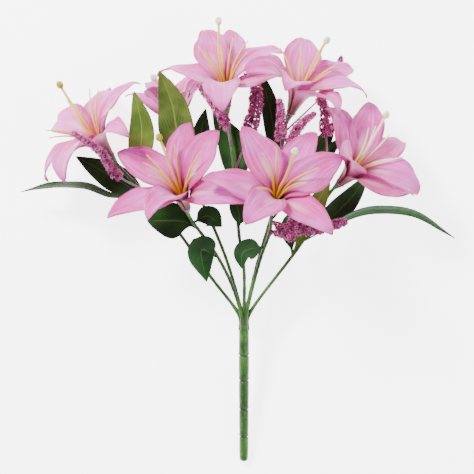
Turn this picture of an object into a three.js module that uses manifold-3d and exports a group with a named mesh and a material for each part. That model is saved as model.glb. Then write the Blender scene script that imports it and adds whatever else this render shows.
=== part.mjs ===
// An artificial lily bush, lying on its back on a table: seven satin lilies, leaves and filler sprigs
// on wired branches, all moulded into one jointed handle.
// Millimetres, +Z up. The handle points along -Y and the flower heads fan out towards +Y.
import * as THREE from "three";
import { mergeVertices } from "three/addons/utils/BufferGeometryUtils.js";
import Module from "manifold-3d";

const wasm = await Module();
wasm.setup();

// Driving dimensions. Every place below is measured from the fork, where the branches leave the handle.
const gap = 0.3; // clearance between pieces that touch
const handle = { length: 121, drop: 28, topRadius: 4.3, endRadius: 3.5, joints: [23, 48, 74.5, 97], jointDepth: 0.5 };
const branch = { radius: 1.25, calyxRadius: 4, calyxLength: 9, pinRadius: 1.2, sides: 6 };
const petalSet = { ringRadius: 4.2, ringHeight: 1, thickness: 0.8, stackStep: 1.5, nestStep: 1.2 };
const petalLength = 80; // the two sets nest, so they share it
const innerPetal = { length: petalLength, width: 36, flareStart: 0.16, flareEnd: 0.55 };
const outerPetal = { length: petalLength, width: 30, flareStart: 0.1, flareEnd: 0.5 };
const tubeLean = 13; // how far the foot of every petal leans out
const stamen = { length: 56, radius: 0.85, hubRadius: 1.5, hubHeight: 2, arch: 0.2 }; // arch: how upright a filament starts
const pistil = { length: 76, radius: 1.1, knobRadius: 2.6, knobLength: 6 };
const leafShape = { thickness: 0.8, petioleWidth: 1.8, petioleShare: 0.12, fold: 0.12 };
const sprigShape = { stalkRadius: 1, tipRadius: 2.4, whorls: 4, whorlDepth: 0.16 };

const colours = {
  petal: 0xdc9fca,
  stamen: 0xd9a85a,
  leaf: 0x35592f,
  handle: 0x4d7d35,
  sprig: 0xb05c96,
};

// Each lily: the slot its branch takes in the handle and the places that branch passes, where its calyx
// ends and the way it faces, how big it is beside a full bloom, then for its six petals in turn (inner, outer, inner ...) the azimuth, the
// lean outwards and how far the tip curls back. Last, which way the pistil leans and the filaments spread.
const lilies = [
  {
    name: "left", slot: 3, via: [[-29, 45, 34], [-68, 98, 40]], base: [-114, 148, 48], faces: [-0.56, 0.71, 0.42], size: 1,
    petals: [[20, 70, 40], [75, 72, 40], [130, 65, 60], [180, 88, 60], [235, 80, 80], [310, 75, 40]],
    pistil: [60, 6], filaments: [[20, 28], [60, 30], [110, 18], [180, 32], [215, 34], [300, 22]],
  },
  {
    name: "back_left", slot: 4, via: [[-13, 53, 26], [-24, 82, 24], [-41, 120, 20]], base: [-55, 165, 22], faces: [-0.2, 0.92, 0.34], size: 0.82,
    petals: [[5, 42, 45], [60, 44, 60], [120, 38, 60], [155, 44, 50], [240, 30, 20], [300, 38, 20]],
    pistil: [230, 16], filaments: [[0, 20], [50, 24], [120, 14], [180, 22], [240, 20], [300, 24]],
  },
  {
    name: "top", slot: 6, via: [[0, 51, 38], [-4, 79, 40], [-10, 150, 36]], base: [-14.8, 191, 42], faces: [-0.05, 0.85, 0.5], size: 1,
    petals: [[25, 65, 50], [82, 64, 15], [108, 60, 20], [168, 70, 65], [268, 82, 40], [365, 85, 75]],
    pistil: [110, 8], filaments: [[30, 26], [60, 16], [110, 20], [160, 24], [220, 18], [330, 24]],
  },
  {
    name: "top_right", slot: 5, via: [[10, 50, 30], [27, 111, 34]], base: [40, 185, 50], faces: [0.3, 0.76, 0.57], size: 1,
    petals: [[-5, 60, 60], [42, 70, 30], [90, 66, 30], [190, 50, 115], [245, 45, 60], [298, 52, 60]],
    pistil: [0, 5], filaments: [[20, 26], [70, 28], [120, 20], [160, 30], [240, 18], [320, 20]],
  },
  {
    name: "right", slot: 0, via: [[51, 76, 40]], base: [82, 125, 52], faces: [0.55, 0.53, 0.64], size: 1,
    petals: [[-15, 60, 60], [45, 70, 30], [92, 60, 20], [130, 60, 80], [215, 50, 20], [350, 72, 60]],
    pistil: [100, 16], filaments: [[15, 32], [60, 28], [90, 22], [130, 18], [200, 12], [-30, 16]],
  },
  {
    name: "front_left", slot: 2, via: [[-11, 39, 38], [-25, 66, 46]], base: [-49, 104, 66], faces: [-0.2, 0.6, 0.77], size: 1,
    petals: [[50, 65, 30], [82, 65, 30], [150, 60, 15], [200, 80, 20], [248, 50, 40], [336, 74, 40]],
    pistil: [115, 14], filaments: [[30, 29], [85, 24], [140, 31], [165, 27], [210, 20], [330, 24]],
  },
  {
    name: "front_right", slot: 1, via: [[14, 60, 46], [22, 83, 58]], base: [25, 105, 84], faces: [0.13, 0.48, 0.87], size: 1,
    petals: [[28, 75, 20], [62, 80, 15], [124, 70, 10], [178, 76, 15], [236, 55, 40], [312, 66, 20]],
    pistil: [60, 8], filaments: [[20, 33], [70, 20], [100, 27], [140, 25], [215, 28], [330, 20]],
  },
];

// Each leaf: the branch that carries it and how far along, then the line of its midrib, its widest
// breadth, and how far the blade is rolled about that line. A small belly puts the widest place near the base.
const leaves = [
  { name: "left_low", branch: "left", along: 0.76, line: [[-113, 114, 42], [-136, 122, 44], [-167, 123, 36], [-194, 118, 26]], width: 15, roll: 65 },
  { name: "left_broad", branch: "left", along: 0.72, line: [[-112, 130, 26], [-146, 149, 22]], width: 24, roll: 0 },
  { name: "left_upright", branch: "left", along: 0.84, line: [[-87, 170, 62], [-93, 202, 72]], width: 22, roll: 0 },
  { name: "back_upright", branch: "back_left", along: 0.76, line: [[-57, 168, 48.5], [-61, 191, 65.5], [-71, 218, 89]], width: 30, roll: 0 },
  { name: "middle_small", branch: "back_left", along: 0.72, line: [[-37, 169, 33], [-33, 190, 30]], width: 20, roll: 0 },
  { name: "middle_large", branch: "top", along: 0.6, line: [[-9, 156, 26], [-27, 188, 26]], width: 26, roll: 0 },
  { name: "top_long", branch: "top_right", along: 0.7, line: [[23, 189, 26], [12, 230, 22]], width: 16, roll: 0 },
  { name: "right_inner", branch: "top_right", along: 0.65, line: [[70, 163, 36], [78, 180, 34]], width: 18, roll: 0 },
  { name: "right_back", branch: "top_right", along: 0.5, line: [[79, 159, 22], [89, 168, 20]], width: 16, roll: 0 },
  { name: "right_broad", branch: "right", along: 0.6, line: [[93, 113, 26], [108, 135, 22]], width: 20, roll: 0 },
  { name: "right_pale", branch: "right", along: 0.5, line: [[60, 102, 46], [74, 130, 46]], width: 18, roll: 0 },
  { name: "right_low", branch: "right", along: 0.6, line: [[100, 101, 38], [121, 103, 40], [147, 100, 36], [183, 78, 26]], width: 14, roll: 60 },
  { name: "front_left_wide", branch: "front_left", along: 0.8, line: [[-51, 92, 50], [-83, 93, 48]], width: 31, roll: 0 },
  { name: "front_left_short", branch: "front_left", along: 0.84, line: [[-31, 97, 53], [-19, 88, 50]], width: 18, roll: 0 },
  { name: "front_left_hanging", branch: "front_left", along: 0.55, line: [[-36, 68, 56], [-32, 41, 54]], width: 24, roll: 0, belly: 0.55 },
  { name: "centre_hanging", branch: "front_right", along: 0.6, line: [[-1, 66, 60], [-2, 52, 58]], width: 18, roll: 0, belly: 0.65 },
  { name: "centre_narrow", branch: "top", along: 0.45, line: [[-4, 98, 48], [-11, 119, 50]], width: 14, roll: 0 },
  { name: "front_right_low", branch: "right", along: 0.5, line: [[40, 92, 34], [56, 99, 32]], width: 14, roll: 0 },
];

// Each sprig: its branch and place along it, the line of its stalk and spike, where the spike of
// florets begins on that line, and the radius of the spike.
const sprigs = [
  { name: "left", branch: "left", along: 0.8, line: [[-108, 132, 67.5], [-121, 151, 94], [-143, 166, 99]], begins: 0.3, radius: 5.2 },
  { name: "back_left", branch: "top", along: 0.82, line: [[-18, 180, 74], [-39, 208, 76]], begins: 0.4, radius: 5.8 },
  { name: "tall", branch: "top", along: 0.7, line: [[10, 192, 46], [8, 226, 44]], begins: 0.4, radius: 7.4 },
  { name: "upright", branch: "top_right", along: 0.75, line: [[32, 179, 58], [30, 196, 62]], begins: 0.4, radius: 6 },
  { name: "slanted", branch: "top_right", along: 0.65, line: [[46, 172, 62], [60, 184, 66]], begins: 0.4, radius: 6 },
  { name: "right_bent", branch: "right", along: 0.9, line: [[69, 188, 44], [67, 200, 42], [81, 202, 42]], begins: 0.5, radius: 6 },
  { name: "far_right", branch: "top_right", along: 0.9, line: [[76, 212, 12], [86, 237, 8]], begins: 0.5, radius: 5.8 },
  { name: "low_short", branch: "front_right", along: 0.7, line: [[29, 85, 70], [42, 77, 72]], begins: 0.4, radius: 7 },
  { name: "low_long", branch: "front_right", along: 0.82, line: [[56, 86, 66], [87, 92, 64]], begins: 0.2, radius: 7.6 },
];

const radians = THREE.MathUtils.degToRad;
const smooth = (x, from, to) => THREE.MathUtils.smoothstep(x, from, to);
const vector = ([x, y, z]) => new THREE.Vector3(x, y, z);

// A geometry's shared vertices merged, so that it is one closed surface.
function closed(geometry) {
  geometry.deleteAttribute("normal");
  geometry.deleteAttribute("uv");
  return mergeVertices(geometry, 1e-3);
}

function solidOf(geometry) {
  const merged = closed(geometry);
  const index = [...merged.index.array];
  const kept = [];
  for (let i = 0; i < index.length; i += 3) {
    const [a, b, c] = index.slice(i, i + 3);
    if (a !== b && b !== c && a !== c) kept.push(a, b, c);
  }
  return new wasm.Manifold(
    new wasm.Mesh({
      numProp: 3,
      vertProperties: new Float32Array(merged.attributes.position.array),
      triVerts: new Uint32Array(kept),
    }),
  );
}

function geometryOf(solid) {
  const mesh = solid.getMesh();
  const geometry = new THREE.BufferGeometry();
  geometry.setAttribute("position", new THREE.BufferAttribute(mesh.vertProperties, mesh.numProp));
  geometry.setIndex(new THREE.BufferAttribute(mesh.triVerts, 1));
  return geometry;
}

const joined = (geometries) => geometryOf(geometries.map(solidOf).reduce((whole, part) => whole.add(part)));

// A thin closed shell about surface(u, v), with u from 0 to 1 along it and v from -1 to 1 across it.
function shell(surface, thickness, along, across) {
  const geometry = new THREE.BoxGeometry(1, 2, 1, along, across, 1);
  const position = geometry.attributes.position;
  const step = 1e-3;
  for (let i = 0; i < position.count; i++) {
    const u = position.getX(i) + 0.5;
    const v = position.getY(i);
    const alongside = surface(Math.min(u + step, 1), v).sub(surface(Math.max(u - step, 0), v));
    const crosswise = surface(u, Math.min(v + step, 1)).sub(surface(u, Math.max(v - step, -1)));
    const normal = alongside.cross(crosswise).normalize();
    const point = surface(u, v).addScaledVector(normal, position.getZ(i) * thickness);
    position.setXYZ(i, point.x, point.y, point.z);
  }
  return closed(geometry);
}

// A turned profile of [radius, distance] pairs, bent so that its axis follows a curve.
function rod(curve, profile, sides) {
  const geometry = new THREE.LatheGeometry(profile.map(([radius, at]) => new THREE.Vector2(radius, at)), sides);
  const length = profile[profile.length - 1][1];
  const steps = 60;
  const frames = curve.computeFrenetFrames(steps, false);
  const position = geometry.attributes.position;
  for (let i = 0; i < position.count; i++) {
    const share = THREE.MathUtils.clamp(position.getY(i) / length, 0, 1);
    const frame = Math.round(share * steps);
    const point = curve.getPointAt(share);
    point.addScaledVector(frames.binormals[frame], position.getX(i));
    point.addScaledVector(frames.normals[frame], position.getZ(i));
    position.setXYZ(i, point.x, point.y, point.z);
  }
  return closed(geometry);
}

const handleSlope = Math.asin(handle.drop / handle.length);
const handleWay = new THREE.Vector3(0, Math.cos(handleSlope), Math.sin(handleSlope));
const fork = new THREE.Vector3(0, 0, handle.drop + handle.endRadius);

// Where a branch leaves the top of the handle: slot 6 is in the middle, the others ring it.
function slotPlace(slot) {
  const ringRadius = slot === 6 ? 0 : 2 * branch.radius + gap;
  const angle = radians(60 * slot);
  const above = new THREE.Vector3(1, 0, 0).cross(handleWay);
  return fork.clone()
    .addScaledVector(handleWay, gap)
    .add(new THREE.Vector3(ringRadius * Math.cos(angle), 0, 0))
    .addScaledVector(above, ringRadius * Math.sin(angle));
}

function handleMesh() {
  const shoulder = 2.2; // how far a joint's groove reaches to each side
  const radiusAt = (at) => THREE.MathUtils.lerp(handle.endRadius, handle.topRadius, at / handle.length);
  const profile = [[0, 0], [handle.endRadius * 0.62, 0.5], [handle.endRadius * 0.95, 2.2]]; // rounded end
  for (const at of handle.joints) {
    profile.push([radiusAt(at), at - 11]);
    profile.push([radiusAt(at), at - shoulder]);
    profile.push([radiusAt(at) - handle.jointDepth, at - shoulder / 4]);
    profile.push([radiusAt(at) - handle.jointDepth, at + shoulder / 4]);
    profile.push([radiusAt(at), at + shoulder]);
  }
  profile.push([handle.topRadius, handle.length], [0, handle.length]);
  const start = fork.clone().addScaledVector(handleWay, -handle.length);
  return mesh("handle", rod(new THREE.LineCurve3(start, fork), profile, 12), colours.handle);
}

function branchCurve(lily) {
  const start = slotPlace(lily.slot);
  const base = vector(lily.base);
  return new THREE.CatmullRomCurve3([
    start,
    start.clone().addScaledVector(handleWay, 9),
    ...lily.via.map(vector),
    base.clone().addScaledVector(vector(lily.faces).normalize(), -14),
    base,
  ], false, "centripetal");
}

const branchCurves = Object.fromEntries(lilies.map((lily) => [lily.name, branchCurve(lily)]));

// The branch swells into the calyx under its flower, and its pin carries the two sets of petals.
function branchMesh(lily) {
  const curve = branchCurves[lily.name];
  const length = curve.getLength();
  const rows = 10;
  const profile = [[0, 0]];
  for (let row = 0; row < rows; row++) {
    profile.push([branch.radius, (row / (rows - 1)) * (length - branch.calyxLength)]);
  }
  profile.push([branch.calyxRadius * 0.8, length - branch.calyxLength * 0.45]);
  profile.push([branch.calyxRadius, length], [0, length]);
  const pinLength = gap + petalSet.stackStep + petalSet.ringHeight;
  const pin = new THREE.CylinderGeometry(branch.pinRadius, branch.pinRadius, pinLength + 1, branch.sides);
  pin.rotateX(Math.PI / 2).translate(0, 0, (pinLength - 1) / 2);
  pin.applyMatrix4(lilyMatrix(lily));
  return mesh(`branch_${lily.name}`, joined([rod(curve, profile, branch.sides), pin]), colours.handle);
}

// A lily's own frame: +Z is the way it faces, and azimuth 0 lies as near as it can to +X.
function lilyMatrix(lily) {
  const forward = vector(lily.faces).normalize();
  const right = new THREE.Vector3(1, 0, 0).projectOnPlane(forward).normalize();
  const up = forward.clone().cross(right);
  return new THREE.Matrix4().makeBasis(right, up, forward).setPosition(vector(lily.base));
}

// Radius and height along a petal's midline: it rises in the funnel, flares out and curls back.
function midline(size, length, lean, curl, start) {
  const steps = 40;
  const line = [start];
  for (let i = 0; i < steps; i++) {
    const u = (i + 0.5) / steps;
    const flared = tubeLean + (lean - tubeLean) * smooth(u, size.flareStart, size.flareEnd);
    const angle = radians(flared + curl * Math.max(0, 2 * u - 1) ** 1.3);
    line.push({
      radius: line[i].radius + (Math.sin(angle) * length) / steps,
      height: line[i].height + (Math.cos(angle) * length) / steps,
    });
  }
  return (u) => {
    const at = Math.min(Math.floor(u * steps), steps - 1);
    const rest = u * steps - at;
    return {
      radius: THREE.MathUtils.lerp(line[at].radius, line[at + 1].radius, rest),
      height: THREE.MathUtils.lerp(line[at].height, line[at + 1].height, rest),
    };
  };
}

// Half the breadth of a petal: it widens from the foot, is broadest past the middle and ends in a point.
function petalHalfWidth(u, width) {
  const blade = Math.sin(Math.PI * (0.1 + 0.9 * u) ** 1.35) ** 0.62;
  return Math.max(0.6, (width / 2) * (blade || 0));
}

// A petal grows at azimuth root and sways round to its own azimuth as it leaves the funnel.
function petal(size, bloom, root, [azimuth, lean, curl], start) {
  const line = midline(size, size.length * bloom, lean, curl, start);
  const reach = 0.95; // widest angle a petal may take to each side, in the funnel
  return shell((u, v) => {
    const { radius, height } = line(u);
    const turn = v * Math.min(petalHalfWidth(u, size.width * bloom) / radius, reach);
    const angle = radians(THREE.MathUtils.lerp(root, azimuth, smooth(u, 0.15, 0.8))) + turn;
    return new THREE.Vector3(radius * Math.cos(angle), radius * Math.sin(angle), height);
  }, petalSet.thickness, 7, 4);
}

// One stamped piece of satin: three petals on a ring that slips over the pin of the calyx.
function petalSetMesh(lily, inner) {
  const size = inner ? innerPetal : outerPetal;
  const ringRadius = petalSet.ringRadius - (inner ? petalSet.nestStep : 0);
  const floor = gap + (inner ? petalSet.stackStep : 0);
  const start = { radius: ringRadius - petalSet.thickness, height: floor + petalSet.ringHeight / 2 };
  const bore = branch.pinRadius + gap;
  const ring = new THREE.LatheGeometry([
    new THREE.Vector2(bore, floor),
    new THREE.Vector2(ringRadius, floor),
    new THREE.Vector2(ringRadius, floor + petalSet.ringHeight),
    new THREE.Vector2(bore, floor + petalSet.ringHeight),
    new THREE.Vector2(bore, floor),
  ], 12).rotateX(Math.PI / 2);
  const turned = lily.petals.reduce((sum, [azimuth], number) => sum + azimuth - 60 * number, 0) / 6;
  const petals = (inner ? [0, 2, 4] : [1, 3, 5])
    .map((number) => petal(size, lily.size, turned + 60 * number, lily.petals[number], start));
  const set = joined([ring, ...petals]).applyMatrix4(lilyMatrix(lily));
  return mesh(`${inner ? "inner" : "outer"}_petals_${lily.name}`, set, colours.petal);
}

// The stamens and the pistil are one moulding, on a hub that stands in the throat of the flower.
function stamenMesh(lily) {
  const floor = 2 * gap + petalSet.stackStep + petalSet.ringHeight;
  const hub = new THREE.LatheGeometry([
    new THREE.Vector2(0, floor),
    new THREE.Vector2(stamen.hubRadius * 0.7, floor),
    new THREE.Vector2(stamen.hubRadius, floor + stamen.hubHeight / 2),
    new THREE.Vector2(stamen.hubRadius * 0.7, floor + stamen.hubHeight),
    new THREE.Vector2(0, floor + stamen.hubHeight),
  ], 8).rotateX(Math.PI / 2);
  const rise = floor + stamen.hubHeight * 0.6;
  const stalk = (azimuth, lean, length, foot) => {
    const out = vector([Math.cos(radians(azimuth)), Math.sin(radians(azimuth)), 0]);
    const point = (share, angle) => new THREE.Vector3(0, 0, rise + Math.cos(radians(angle)) * length * share)
      .addScaledVector(out, foot + Math.sin(radians(angle)) * length * share);
    return new THREE.QuadraticBezierCurve3(point(0, 0), point(0.55, lean * stamen.arch), point(1, lean));
  };
  const filaments = lily.filaments.map(([azimuth, lean]) => {
    const curve = stalk(azimuth, lean, stamen.length * lily.size, stamen.hubRadius / 2);
    const length = curve.getLength();
    const thick = stamen.radius;
    const profile = [[0, 0], [thick, 0], [thick, length * 0.35], [thick, length * 0.7], [thick * 0.5, length], [0, length]];
    return rod(curve, profile, 4);
  });
  const style = stalk(...lily.pistil, pistil.length * lily.size, 0);
  const length = style.getLength();
  const neck = length - pistil.knobLength;
  const profile = [[0, 0], [pistil.radius, 0], [pistil.radius, neck / 2], [pistil.radius, neck],
    [pistil.knobRadius, length - pistil.knobLength * 0.6], [pistil.knobRadius * 0.8, length - 0.8], [0, length]];
  const set = joined([hub, ...filaments, rod(style, profile, 6)]).applyMatrix4(lilyMatrix(lily));
  return mesh(`stamens_${lily.name}`, set, colours.stamen);
}

// The line of a leaf or sprig, starting beside the branch that carries it.
function sideLine(item) {
  const carrier = branchCurves[item.branch].getPointAt(item.along);
  const points = item.line.map(vector);
  const away = points[0].clone().sub(carrier).normalize();
  const tangent = branchCurves[item.branch].getTangentAt(item.along);
  const square = away.clone().projectOnPlane(tangent).normalize();
  const start = carrier.clone().addScaledVector(square, branch.radius + gap + 1);
  return new THREE.CatmullRomCurve3([start, ...points], false, "centripetal");
}

function leafMesh(leaf) {
  const curve = sideLine(leaf);
  const surface = (u, v) => {
    const tangent = curve.getTangentAt(u);
    const side = new THREE.Vector3(0, 0, 1).cross(tangent).normalize().applyAxisAngle(tangent, radians(leaf.roll));
    const normal = tangent.clone().cross(side);
    const blade = THREE.MathUtils.clamp((u - leafShape.petioleShare) / (1 - leafShape.petioleShare), 0, 1);
    const spread = leaf.width * Math.sin(Math.PI * blade ** (leaf.belly ?? 0.8)) ** 0.85;
    const half = Math.max(u < 0.5 ? leafShape.petioleWidth : 0.9, spread) / 2;
    return curve.getPointAt(u)
      .addScaledVector(side, v * half)
      .addScaledVector(normal, Math.abs(v) * half * leafShape.fold);
  };
  return mesh(`leaf_${leaf.name}`, shell(surface, leafShape.thickness, 8, 2), colours.leaf);
}

function sprigMesh(sprig) {
  const curve = sideLine(sprig);
  const length = curve.getLength();
  const start = length * sprig.begins;
  const profile = [[0, 0], [sprigShape.stalkRadius, 0], [sprigShape.stalkRadius, start]];
  const rows = 2 * sprigShape.whorls;
  for (let row = 1; row <= rows; row++) {
    const share = row / rows;
    const taper = THREE.MathUtils.lerp(sprig.radius, sprigShape.tipRadius, share ** 2);
    const bump = row % 2 ? 1 : 1 - sprigShape.whorlDepth;
    profile.push([taper * bump, start + (length - start) * share * 0.96]);
  }
  profile.push([0, length]);
  return mesh(`sprig_${sprig.name}`, rod(curve, profile, 7), colours.sprig);
}

function mesh(name, geometry, colour) {
  const material = new THREE.MeshStandardMaterial({ color: colour, roughness: 0.6, metalness: 0 });
  const made = new THREE.Mesh(geometry, material);
  made.name = name;
  return made;
}

const bush = new THREE.Group();
bush.add(handleMesh());
for (const lily of lilies) {
  bush.add(branchMesh(lily), petalSetMesh(lily, false), petalSetMesh(lily, true), stamenMesh(lily));
}
bush.add(...leaves.map(leafMesh), ...sprigs.map(sprigMesh));

// The origin lies on the table, under the middle of the bush.
const box = new THREE.Box3().setFromObject(bush);
const middle = box.getCenter(new THREE.Vector3());
bush.position.set(-middle.x, -middle.y, -box.min.z);

export default bush;
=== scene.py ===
import math
import random

import bmesh
import bpy
from mathutils import Matrix, Vector


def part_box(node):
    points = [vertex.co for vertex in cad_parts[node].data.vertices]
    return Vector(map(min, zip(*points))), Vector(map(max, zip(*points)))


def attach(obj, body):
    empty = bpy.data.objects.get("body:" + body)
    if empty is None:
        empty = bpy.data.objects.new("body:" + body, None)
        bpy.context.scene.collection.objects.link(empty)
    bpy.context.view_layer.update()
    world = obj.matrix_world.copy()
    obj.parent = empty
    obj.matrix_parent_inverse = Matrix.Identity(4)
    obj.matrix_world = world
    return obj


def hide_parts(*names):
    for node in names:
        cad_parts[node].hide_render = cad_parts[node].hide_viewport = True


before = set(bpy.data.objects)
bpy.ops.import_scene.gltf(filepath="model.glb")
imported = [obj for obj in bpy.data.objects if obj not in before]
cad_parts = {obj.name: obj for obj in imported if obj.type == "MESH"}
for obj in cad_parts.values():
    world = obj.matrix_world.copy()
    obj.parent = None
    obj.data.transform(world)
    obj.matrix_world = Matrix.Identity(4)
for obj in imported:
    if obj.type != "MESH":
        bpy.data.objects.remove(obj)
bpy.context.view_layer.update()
mm = 0.001
chance = random.Random(7)


def smooth(x, start, end):
    t = min(max((x - start) / (end - start), 0), 1)
    return t * t * (3 - 2 * t)


def lerp(a, b, t):
    return a + (b - a) * t


def active(piece):
    bpy.ops.object.select_all(action="DESELECT")
    piece.select_set(True)
    bpy.context.view_layer.objects.active = piece


def selectVerts(mesh, wanted):
    for vert in mesh.verts:
        vert.select = wanted(vert.co)
    mesh.select_flush_mode()


def applyModifiers(piece):
    active(piece)
    for modifier in list(piece.modifiers):
        bpy.ops.object.modifier_apply(modifier=modifier.name)


def settle(piece, matrix):
    active(piece)
    piece.matrix_world = matrix
    bpy.ops.object.transform_apply(location=True, rotation=True, scale=True)


def joinPieces(pieces, name):
    bpy.ops.object.select_all(action="DESELECT")
    for piece in pieces:
        piece.select_set(True)
    bpy.context.view_layer.objects.active = pieces[0]
    bpy.ops.object.join()
    pieces[0].name = pieces[0].data.name = name
    return pieces[0]


def wear(piece, material, slotName, *nodes):
    piece.data.materials.clear()
    piece.data.materials.append(material)
    if nodes:
        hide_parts(*nodes)
    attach(piece, "root")


# the place of the fork, where the branches leave the handle, found from the handle's own box
handle = dict(length=121, drop=28, topRadius=4.3, endRadius=3.5, joints=(23, 48, 74.5, 97),
              jointDepth=0.6, lip=0.3, sides=28, fullness=0.25, shadeNear=0.5, shadeFar=1.8)
forkHeight = handle["drop"] + handle["endRadius"]
handleSlope = math.asin(handle["drop"] / handle["length"])
handleWay = Vector((0, math.cos(handleSlope), math.sin(handleSlope)))
handleLow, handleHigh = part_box("handle")
origin = Vector((
    (handleLow.x + handleHigh.x) / 2,
    handleHigh.y - handle["topRadius"] * math.sin(handleSlope) * mm,
    handleHigh.z - (forkHeight + handle["topRadius"] * math.cos(handleSlope)) * mm,
))
forkPoint = Vector((0, 0, forkHeight))


def place(point):
    return origin + Vector(point) * mm


# a smooth line through points, measured along its length
class Line:
    def __init__(self, points, samples=160):
        points = [Vector(p) for p in points]
        points = [points[0] * 2 - points[1]] + points + [points[-1] * 2 - points[-2]]
        self.dots = []
        spans = len(points) - 3
        for k in range(samples + 1):
            at = min(k / samples * spans, spans - 1e-9)
            i = int(at)
            self.dots.append(self.between(points[i:i + 4], at - i))
        self.lengths = [0]
        for a, b in zip(self.dots, self.dots[1:]):
            self.lengths.append(self.lengths[-1] + (b - a).length)
        self.length = self.lengths[-1]

    @staticmethod
    def between(p, t):
        d0, d1, d2 = (max((b - a).length, 1e-6) ** 0.5 for a, b in zip(p, p[1:]))
        t1 = ((p[1] - p[0]) / d0 - (p[2] - p[0]) / (d0 + d1) + (p[2] - p[1]) / d1) * d1
        t2 = ((p[2] - p[1]) / d1 - (p[3] - p[1]) / (d1 + d2) + (p[3] - p[2]) / d2) * d1
        c2 = -3 * p[1] + 3 * p[2] - 2 * t1 - t2
        c3 = 2 * p[1] - 2 * p[2] + t1 + t2
        return p[1] + t1 * t + c2 * t ** 2 + c3 * t ** 3

    def at(self, share):
        want = min(max(share, 0), 1) * self.length
        last = len(self.lengths) - 1
        k = next((i for i in range(1, last + 1) if self.lengths[i] >= want), last)
        span = self.lengths[k] - self.lengths[k - 1]
        return self.dots[k - 1].lerp(self.dots[k], (want - self.lengths[k - 1]) / span if span else 0)

    def way(self, share):
        return (self.at(share + 0.01) - self.at(share - 0.01)).normalized()


def rail(points, tilts=None):
    data = bpy.data.curves.new("rail", "CURVE")
    data.dimensions = "3D"
    data.twist_mode = "Z_UP"
    spline = data.splines.new("POLY")
    spline.points.add(len(points) - 1)
    for k, point in enumerate(points):
        spline.points[k].co = (*point, 1)
        spline.points[k].tilt = tilts[k] if tilts else 0
    piece = bpy.data.objects.new("rail", data)
    bpy.context.scene.collection.objects.link(piece)
    return piece


def tubeAlong(points, radii, sides, name):
    piece = rail(points)
    piece.data.bevel_depth = 1
    piece.data.bevel_resolution = max(0, sides // 4 - 1)
    piece.data.use_fill_caps = True
    piece.data.twist_mode = "MINIMUM"
    for dot, radius in zip(piece.data.splines[0].points, radii):
        dot.radius = radius
    active(piece)
    bpy.ops.object.convert(target="MESH")
    piece = bpy.context.object
    piece.name = piece.data.name = name
    bpy.ops.object.shade_smooth()
    return piece


def mark(piece, name, value):
    layer = piece.data.attributes.new(name, "FLOAT", "POINT")
    for vert in piece.data.vertices:
        layer.data[vert.index].value = value(vert.co)


edgeWave = dict(slow=11, slowShare=0.6, quick=23, quickShare=0.4, begins=0.25, full=0.6,
                tipBegins=0.85, tipFade=0.6, sideways=0.25, rim=0.97)


# a flat blank of cloth along X, pressed into a hollow with a midrib and wavy edges
def blank(length, rows, columns, halfWidth, depth, arc, midrib, ruffle=0, roll=0):
    bpy.ops.mesh.primitive_grid_add(x_subdivisions=rows, y_subdivisions=columns, size=2)
    piece = bpy.context.object
    bpy.ops.object.mode_set(mode="EDIT")
    bpy.ops.transform.translate(value=(1, 0, 0))
    bpy.ops.transform.resize(value=(length / 2, 1, 1), center_override=(0, 0, 0))
    mesh = bmesh.from_edit_mesh(piece.data)
    for k in range(columns + 1):
        across = 2 * k / columns - 1
        selectVerts(mesh, lambda co: abs(co.y - across) < 1e-4)
        turn = across * arc
        rise = (1 - math.cos(turn)) / (1 - math.cos(arc))
        bpy.ops.transform.translate(value=(0, math.sin(turn) / math.sin(arc) - across, rise))
    if midrib:
        selectVerts(mesh, lambda co: abs(co.y) < 1e-4)
        bpy.ops.transform.translate(value=(0, 0, -midrib))
    starts = [chance.uniform(0, 6.3) for _ in range(4)]  # where each wave starts, within one turn
    near = length / rows / 3
    for row in range(rows + 1):
        u = row / rows
        x = u * length
        selectVerts(mesh, lambda co: abs(co.x - x) < near)
        bpy.ops.transform.resize(value=(1, halfWidth(u), depth(u)), center_override=(x, 0, 0))
        if not ruffle:
            continue
        rim = halfWidth(u) * edgeWave["rim"]
        for side in (-1, 1):
            selectVerts(mesh, lambda co: abs(co.x - x) < near and co.y * side > rim)
            wave = math.sin(u * edgeWave["slow"] + starts[side]) * edgeWave["slowShare"]
            wave += math.sin(u * edgeWave["quick"] + starts[side + 2]) * edgeWave["quickShare"]
            grow = ruffle * smooth(u, edgeWave["begins"], edgeWave["full"])
            grow *= 1 - edgeWave["tipFade"] * smooth(u, edgeWave["tipBegins"], 1)
            sideways = side * edgeWave["sideways"] * wave * grow
            bpy.ops.transform.translate(value=(0, sideways, (wave - roll) * grow))
    bpy.ops.object.mode_set(mode="OBJECT")
    return piece


def bendAlong(piece, points, tilts, thickness, detail=1):
    guide = rail(points, tilts)
    detailer = piece.modifiers.new("detail", "SUBSURF")
    detailer.levels = detailer.render_levels = detail
    bender = piece.modifiers.new("bend", "CURVE")
    bender.object = guide
    wall = piece.modifiers.new("wall", "SOLIDIFY")
    wall.thickness = thickness
    wall.offset = 0
    applyModifiers(piece)
    bpy.data.objects.remove(guide)
    bpy.ops.object.shade_smooth()



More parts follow.
